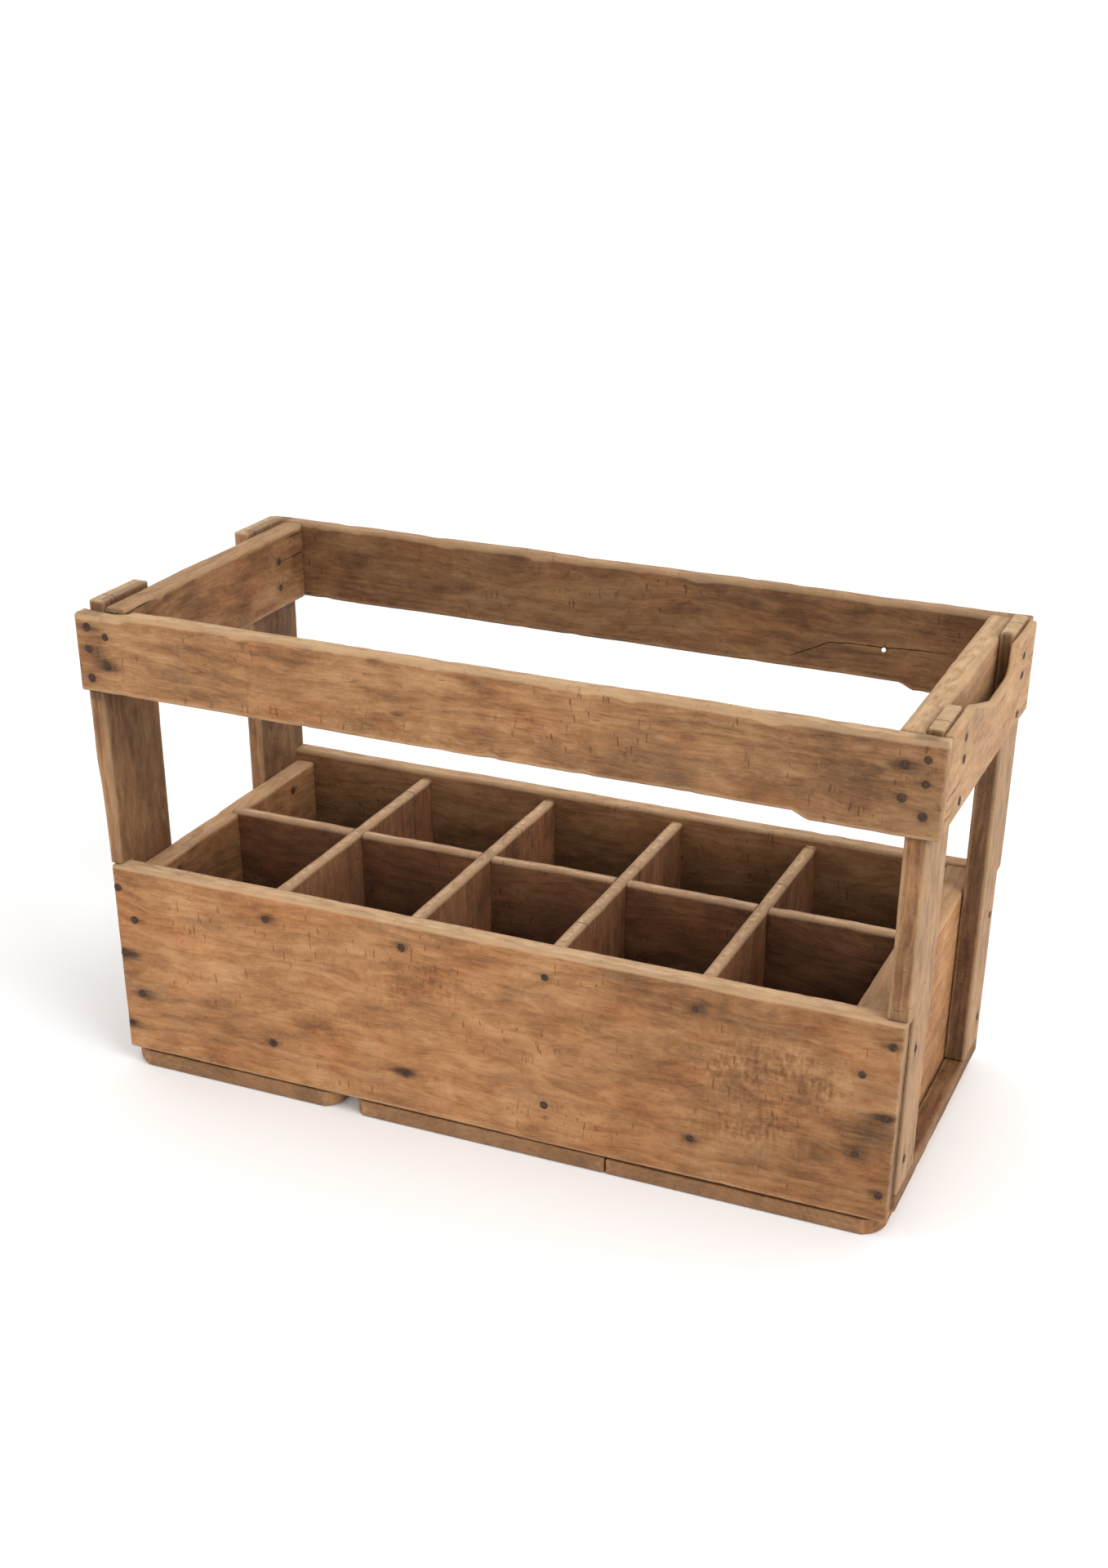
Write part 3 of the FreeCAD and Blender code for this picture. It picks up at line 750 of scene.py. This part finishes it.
materials = {
    "board_wood": wood("board_wood", (srgb(196, 148, 102), srgb(166, 117, 74), srgb(116, 76, 45)),
                       bare_colour=srgb(204, 172, 134), grey=srgb(122, 99, 76), grey_amount=0.35,
                       streak_weight=0.14),
    "post_wood": wood("post_wood", (srgb(172, 131, 91), srgb(146, 105, 69), srgb(100, 67, 42)),
                      bare_colour=srgb(198, 166, 129), grey=srgb(120, 100, 80), grey_amount=0.35,
                      streak_weight=0.24, ring_weight=0.1),
    "rail_wood": wood("rail_wood", (srgb(187, 142, 98), srgb(154, 109, 70), srgb(98, 65, 40)),
                      bare_colour=srgb(204, 171, 131), grey=srgb(108, 90, 72), grey_amount=0.4,
                      streak_weight=0.26),
    "divider_wood": wood("divider_wood", (srgb(168, 118, 80), srgb(140, 94, 62), srgb(94, 60, 39)),
                         bare_colour=srgb(206, 172, 134), grey=srgb(98, 83, 67), grey_amount=0.35,
                         streak_weight=0.16),
    "slat_wood": wood("slat_wood", (srgb(188, 141, 96), srgb(161, 113, 73), srgb(112, 75, 46)),
                      bare_colour=srgb(190, 154, 114), grey=srgb(118, 97, 76), grey_amount=0.4,
                      streak_weight=0.2),
    "nail_iron": rusted_iron("nail_iron"),
}


def piece(name, mesh, node, slot):
    """Put a mesh in the scene as the visible form of a node."""
    item = bpy.data.objects.new(name, mesh)
    bpy.context.scene.collection.objects.link(item)
    mesh.materials.append(materials[slot])
    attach(item, "root")
    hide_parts(node)
    return item


# Soot and painted shade: each function gives the amount at a point on a side of a board
BOARD_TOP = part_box("front_board")[1].z
CELL_SHADE_DEPTH = 55 * MM


def cell_soot_and_shade(amount, *dark_sides):
    """Painted shade with soot on the sides that face a cell, darker towards the floor."""
    def soot_and_shade(point, side):
        if side not in dark_sides:
            return 0.0
        depth = min(1.0, max(0.0, (BOARD_TOP - point[Z]) / CELL_SHADE_DEPTH))
        return amount * (0.45 + 0.55 * depth)
    return soot_and_shade


def growing_darkening(amount, start, end, dark_side):
    """Darkening on one side that grows along X between two places in millimetres."""
    def soot_and_shade(point, side):
        share = (point[X] / MM - start) / (end - start)
        return amount * min(1.0, max(0.0, share)) if side == dark_side else 0.0
    return soot_and_shade


def both(first, second):
    """The sum of two kinds of darkening."""
    def soot_and_shade(point, side):
        return first(point, side) + second(point, side)
    return soot_and_shade


def face_soot_and_shade(amount, *dark_sides):
    """Even darkening on some sides of a board: painted shade, with some soot."""
    def soot_and_shade(point, side):
        return amount if side in dark_sides else 0.0
    return soot_and_shade


# The boards, with the marks and the wear of each
board_marks = (
    Mark(-135, 121, 7, 5, 0.35), Mark(-46, 125, 9, 3, 0.35), Mark(-33, 117, 8, 2.5, 0.4),
    Mark(-50, 39, 10, 4, 0.3), Mark(178, 116, 17, 5, 0.42), Mark(147, 118, 7, 3, 0.3),
    Mark(131, 123, 6, 3, 0.25), Mark(229, 66, 20, 15, 0.62), Mark(-236, 76, 12, 6, 0.6),
    Mark(-227, 51, 11, 5, 0.5), Mark(-232, 27, 14, 4, 0.5), Mark(128, 33, 12, 5, 0.3),
    Mark(-192, 50, 26, 12, 0.16), Mark(20, 122, 9, 3, 0.2), Mark(233, 30, 10, 6, 0.3),
)
rail_marks = (
    Mark(-236, 268, 12, 14, 0.25), Mark(-138, 268, 3, 3, 0.4), Mark(-203, 285, 4, 2, 0.5),
    Mark(-47, 260, 5, 2, 0.6), Mark(198, 266, 30, 12, 0.32), Mark(112, 283, 26, 5, 0.22),
    Mark(-60, 288, 7, 2.5, 0.6), Mark(212, 262, 9, 8, 0.25), Mark(160, 255, 30, 6, 0.35),
    Mark(-180, 250, 22, 6, 0.22), Mark(-110, 246, 25, 4, 0.2),
)
# Curled figure on the front board
board_curls = (
    Mark(150, 88, 22, 15, 1.0), Mark(188, 98, 24, 14, 1.0), Mark(160, 50, 30, 13, 1.0),
    Mark(205, 84, 18, 20, 0.6), Mark(-90, 60, 40, 14, 0.3), Mark(-30, 100, 20, 12, 0.4),
)
# A split in the rear rail, as places along and up the crate in millimetres
rear_rail_split = ((100, 249), (107, 251), (130, 262), (170, 264), (204, 265))
# The front rail is worn hollow above the left post
front_rail_hollow = Dip(TOP_SIDE, -236, 20, 2.6)

boards = [
    Board("front_board", "board_wood", run=X, grain=X, seed=11, wave=(0.3, 0.2, 1.0, 0.2), arris=1.5,
          chip=2.5, soot_and_shade=both(cell_soot_and_shade(0.75, RIGHT_SIDE), growing_darkening(0.3, 0, 180, LEFT_SIDE)),
          bare=1.0, contact_shade_and_dirt=0.3, marks=board_marks, curls=board_curls, checks=0),
    Board("rear_board", "board_wood", run=X, grain=X, seed=12, wave=(0.3, 0.2, 1.2, 0.2), arris=1.5,
          chip=2.5, soot_and_shade=cell_soot_and_shade(0.82, LEFT_SIDE), tone=0.15, bare=0.9, contact_shade_and_dirt=0.3, checks=1),
    Board("left_end_panel", "board_wood", run=Y, grain=Y, seed=13, wave=(0.9, 0.2, 1.4, 0.2), arris=1.5,
          chip=3.0, soot_and_shade=cell_soot_and_shade(0.4, RIGHT_SIDE), tone=0.1, bare=0.6),
    Board("right_end_panel", "board_wood", run=Y, grain=Y, seed=14, wave=(0.9, 0.2, 1.0, 0.2), arris=1.5,
          chip=2.0, soot_and_shade=cell_soot_and_shade(0.6, LEFT_SIDE), tone=0.1, bare=0.5),
    Board("front_rail", "rail_wood", run=X, grain=X, seed=21, wave=(0.8, 0.2, 1.8, 0.2), arris=1.8,
          chip=4.0, soot_and_shade=growing_darkening(0.32, 20, 190, LEFT_SIDE), bare=0.8, dips=(front_rail_hollow,),
          marks=rail_marks, checks=0),
    Board("rear_rail", "rail_wood", run=X, grain=X, seed=22, wave=(0.8, 0.2, 1.8, 0.2), arris=1.8,
          chip=4.0, soot_and_shade=face_soot_and_shade(0.37, LEFT_SIDE), tone=0.2, bare=0.6, cracks=(rear_rail_split,),
          checks=1),
    Board("left_inner_rail", "rail_wood", run=Y, grain=Y, seed=23, wave=(0.6, 0.2, 1.7, 0.2), arris=2.0,
          chip=4.0, soot_and_shade=face_soot_and_shade(0.12, RIGHT_SIDE), tone=0.1, bare=0.4),
    # The right inner rail and the hand rail get painted light on their outer faces
    Board("right_inner_rail", "rail_wood", run=Y, grain=Y, seed=24, wave=(0.6, 0.2, 1.0, 0.2), arris=2.2,
          chip=2.5, bare=0.9, contact_shade_and_dirt=0.25, painted_light=(RIGHT_SIDE,)),
    Board("right_hand_rail", "rail_wood", run=Y, grain=Y, seed=25, wave=(0.5, 0.2, 0.7, 0.2), arris=1.4,
          chip=2.0, bare=0.8, contact_shade_and_dirt=0.2, painted_light=(RIGHT_SIDE,)),
]

# Painted shade: the left posts are darker on their inner faces, where some dirt also sits, and the rear
# right post on its front
post_soot_and_shade = {
    "front_left_post": face_soot_and_shade(0.45, RIGHT_SIDE),
    "front_right_post": None,
    "rear_left_post": face_soot_and_shade(0.48, RIGHT_SIDE),
    "rear_right_post": face_soot_and_shade(0.6, BOTTOM_SIDE),
}
# Painted light: the right posts are lighter outside, on the side the light falls on
post_painted_light = {"front_right_post": (RIGHT_SIDE,), "rear_right_post": (RIGHT_SIDE,)}
# The front left post is worn thinner outside, in its lower half
post_dips = {"front_left_post": (Dip(LEFT_SIDE, 120, 80, 2.2),)}
for seed, (name, soot_and_shade) in enumerate(post_soot_and_shade.items(), start=31):
    boards.append(Board(name, "post_wood", run=Z, grain=Z, seed=seed, wave=(0.3, 0.3, 0.3, 0.3), arris=1.2,
                        chip=1.6, soot_and_shade=soot_and_shade, bare=0.9, dips=post_dips.get(name, ()),
                        painted_light=post_painted_light.get(name, ())))

# The grain of the cross dividers stands upright
boards.append(Board("long_divider", "divider_wood", run=X, grain=X, seed=41, wave=(0.2, 0.3, 2.0, 0.3),
                    arris=1.6, chip=2.0, soot_and_shade=cell_soot_and_shade(0.64, LEFT_SIDE, RIGHT_SIDE), bare=1.0, contact_shade_and_dirt=0.15))
cross_dividers = [name for name in board_nodes if name.startswith("cross_divider_")]
for seed, name in enumerate(cross_dividers, start=43):
    boards.append(Board(name, "divider_wood", run=Y, grain=Z, seed=seed, wave=(0.2, 0.3, 0.9, 0.3),
                        arris=1.6, chip=2.0, soot_and_shade=cell_soot_and_shade(0.18, LEFT_SIDE, RIGHT_SIDE), bare=1.0,
                        contact_shade_and_dirt=0.15))

# The left slat is worn rounder than the other two
slat_arrises = {"bottom_slat_left": 3.0, "bottom_slat_middle": 1.0, "bottom_slat_right": 1.0}
for seed, (name, arris) in enumerate(slat_arrises.items(), start=51):
    boards.append(Board(name, "slat_wood", run=Y, grain=Y, seed=seed, wave=(0.5, 0.1, 1.6, 0.1),
                        arris=arris, chip=1.0, soot_and_shade=face_soot_and_shade(0.3, BOTTOM_SIDE, TOP_SIDE), tone=0.22,
                        checks=0))
boards.append(Board("right_batten", "slat_wood", run=Y, grain=Y, seed=55, wave=(0.2, 0.3, 0.8, 0.2),
                    arris=1.6, chip=2.0, soot_and_shade=face_soot_and_shade(0.45, TOP_SIDE, RIGHT_SIDE), checks=1))

planks = {}
for board in boards:
    planks[board.node] = piece(board.node + "_plank", board.build(), board.node, board.slot)


# The empty nail hole in the rear rail, driven at a slant
SPARE_HOLE = Vector((163 * MM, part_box("rear_rail")[0].y, 262 * MM))
SPARE_HOLE_WAY = Vector((-0.22, 0.92, -0.31))
SPARE_HOLE_DIAMETER = 2.6 * MM
DRILL_LENGTH = 60 * MM
DRILL_SIDES = 16


def bore(plank, middle, way, diameter):
    """Drill a round hole through a plank."""
    work = bmesh.new()
    radius = diameter / 2
    bmesh.ops.create_cone(work, segments=DRILL_SIDES, radius1=radius, radius2=radius, depth=DRILL_LENGTH)
    drill_mesh = bpy.data.meshes.new("drill")
    work.to_mesh(drill_mesh)
    work.free()
    drill = bpy.data.objects.new("drill", drill_mesh)
    drill.matrix_world = Matrix.Translation(middle) @ way.to_track_quat("Z", "Y").to_matrix().to_4x4()
    bpy.context.scene.collection.objects.link(drill)
    cut = plank.modifiers.new("bore", "BOOLEAN")
    cut.operation = "DIFFERENCE"
    cut.object = drill
    whole = plank.data
    plank.data = bpy.data.meshes.new_from_object(plank.evaluated_get(bpy.context.evaluated_depsgraph_get()))
    plank.modifiers.clear()
    bpy.data.objects.remove(drill)
    bpy.data.meshes.remove(drill_mesh)
    bpy.data.meshes.remove(whole)


bore(planks["rear_rail"], SPARE_HOLE, SPARE_HOLE_WAY, SPARE_HOLE_DIAMETER)


# Nails: hammered heads, a little uneven, on their shanks. Each ring of a head has its share of
# the radius and its height. Heights and rises are in millimetres.
HEAD_UNEVENNESS = 0.12
HEAD_CROWN = 0.42
HEAD_RINGS = ((0.45, 0.40), (0.8, 0.30), (1.0, 0.05), (1.0, -0.9))
HEAD_SHARES = (0.8, 1.0)
HEAD_RISES = (0.32, 0.52)
HEAD_TILTS = (-0.12, 0.12)
SHANK_SHARE = 0.5
SHANK_START = 0.9 * MM
POINT_LENGTH = 2 * MM
NAIL_POINTS = 14
NAIL_ANGLES = [math.tau * point / NAIL_POINTS for point in range(NAIL_POINTS)]
NAIL_SHARP_ANGLE = math.radians(40)
# The nails in the bottom stay above the ground
SUNK = -0.4


def nail_ring(work, centre, directions, reaches, lifts):
    """Points round a nail, each at its reach from the axis and its lift out of the wood."""
    way, side, other = directions
    ring = []
    for angle, reach, lift in zip(NAIL_ANGLES, reaches, lifts):
        spot = centre + side * reach * math.cos(angle) + other * reach * math.sin(angle) - way * lift
        ring.append(work.verts.new(spot))
    return ring


def add_nail(work, item, dice, seed):
    """One nail: a domed and tilted head, a shank and a point."""
    way = Vector(item["way"])
    side = way.orthogonal().normalized()
    directions = (way, side, way.cross(side))
    proud = dice.uniform(*HEAD_RISES) if item["axis"] != Z else SUNK
    centre = Vector(item["head"]) - way * proud * MM
    tilt = dice.uniform(*HEAD_TILTS)
    radius = item["radius"] * dice.uniform(*HEAD_SHARES)
    shape = seed + item["stain"] * 50
    rings = []
    for share, height in HEAD_RINGS:
        reaches = []
        lifts = []
        for angle in NAIL_ANGLES:
            bumps = wander(math.cos(angle) * 1.3, math.sin(angle) * 1.3, shape)
            uneven = 1 + HEAD_UNEVENNESS * bumps
            reach = radius * share * uneven
            reaches.append(reach)
            lifts.append(height * MM + tilt * reach * math.cos(angle))
        rings.append(nail_ring(work, centre, directions, reaches, lifts))
    shank_reaches = [item["radius"] * SHANK_SHARE] * NAIL_POINTS
    for along in (SHANK_START, item["length"] - POINT_LENGTH):
        rings.append(nail_ring(work, centre, directions, shank_reaches, [-along] * NAIL_POINTS))
    crown = work.verts.new(centre - way * HEAD_CROWN * MM)
    tip = work.verts.new(centre + way * item["length"])
    for index in range(NAIL_POINTS):
        after = (index + 1) % NAIL_POINTS
        work.faces.new((crown, rings[0][index], rings[0][after]))
        work.faces.new((tip, rings[-1][after], rings[-1][index]))
        for first, second in zip(rings, rings[1:]):
            work.faces.new((first[index], second[index], second[after], first[after]))


def nail_mesh(name, group, seed):
    """The nails of one node."""
    work = bmesh.new()
    dice = random.Random(seed)
    for item in group:
        add_nail(work, item, dice, seed)
    bmesh.ops.recalc_face_normals(work, faces=work.faces)
    mesh = bpy.data.meshes.new(name)
    work.to_mesh(mesh)
    work.free()
    mesh.shade_smooth()
    mesh.set_sharp_from_angle(angle=NAIL_SHARP_ANGLE)
    return mesh


for seed, (name, group) in enumerate(nails.items(), start=61):
    piece(name + "_forged", nail_mesh(name + "_forged", group, seed), name, "nail_iron")


# Floor, light and camera
FLOOR_HALF = 6.0
FLOOR_COLOUR = (0.99, 0.99, 0.99, 1.0)
SKY_COLOUR = (1.0, 1.0, 1.0, 1.0)
SKY_STRENGTH = 1.0
KEY_PLACE = (2.0, -1.0, 2.2)
KEY_TARGET = (0, 0, 0.15)
KEY_SIZE = 1.6
KEY_POWER = 32


def pale_floor():
    mesh = bpy.data.meshes.new("floor")
    corners = [(-FLOOR_HALF, -FLOOR_HALF, 0), (FLOOR_HALF, -FLOOR_HALF, 0),
               (FLOOR_HALF, FLOOR_HALF, 0), (-FLOOR_HALF, FLOOR_HALF, 0)]
    mesh.from_pydata(corners, [], [(0, 1, 2, 3)])
    floor = bpy.data.objects.new("floor", mesh)
    bpy.context.scene.collection.objects.link(floor)
    shader = Shader("pale_floor")
    shader.surface.inputs["Base Color"].default_value = FLOOR_COLOUR
    shader.surface.inputs["Roughness"].default_value = 0.9
    shader.surface.inputs["Specular IOR Level"].default_value = 0.1
    mesh.materials.append(shader.material)


def key_light():
    data = bpy.data.lights.new("key", "AREA")
    data.shape = "DISK"
    data.size = KEY_SIZE
    data.energy = KEY_POWER
    lamp = bpy.data.objects.new("key", data)
    lamp.location = KEY_PLACE
    lamp.rotation_euler = (Vector(KEY_TARGET) - Vector(KEY_PLACE)).to_track_quat("-Z", "Y").to_euler()
    bpy.context.scene.collection.objects.link(lamp)


def surroundings():
    world = bpy.data.worlds.new("studio")
    world.use_nodes = True
    background = world.node_tree.nodes["Background"]
    background.inputs["Color"].default_value = SKY_COLOUR
    background.inputs["Strength"].default_value = SKY_STRENGTH
    bpy.context.scene.world = world


def photo_camera():
    back = Vector((math.sin(CAMERA_AZIMUTH) * math.cos(CAMERA_ELEVATION),
                   -math.cos(CAMERA_AZIMUTH) * math.cos(CAMERA_ELEVATION), math.sin(CAMERA_ELEVATION)))
    level = Vector((math.cos(CAMERA_AZIMUTH), math.sin(CAMERA_AZIMUTH), 0))
    upright = back.cross(level)
    right = level * math.cos(CAMERA_ROLL) + upright * math.sin(CAMERA_ROLL)
    up = upright * math.cos(CAMERA_ROLL) - level * math.sin(CAMERA_ROLL)
    data = bpy.data.cameras.new("photo_camera")
    data.sensor_width = SENSOR
    data.lens = FOCAL_PIXELS * SENSOR / PHOTO_HEIGHT
    data.shift_x = (PHOTO_WIDTH / 2 - OPTICAL_CENTRE_PIXELS[0]) / PHOTO_HEIGHT
    data.shift_y = (OPTICAL_CENTRE_PIXELS[1] - PHOTO_HEIGHT / 2) / PHOTO_HEIGHT
    camera = bpy.data.objects.new("photo_camera", data)
    turn = Matrix((right, up, back)).transposed().to_4x4()
    camera.matrix_world = Matrix.Translation(CAMERA_TARGET + back * CAMERA_DISTANCE) @ turn
    bpy.context.scene.collection.objects.link(camera)
    bpy.context.scene.camera = camera


bpy.context.scene.view_settings.view_transform = "Standard"
pale_floor()
surroundings()
key_light()
photo_camera()
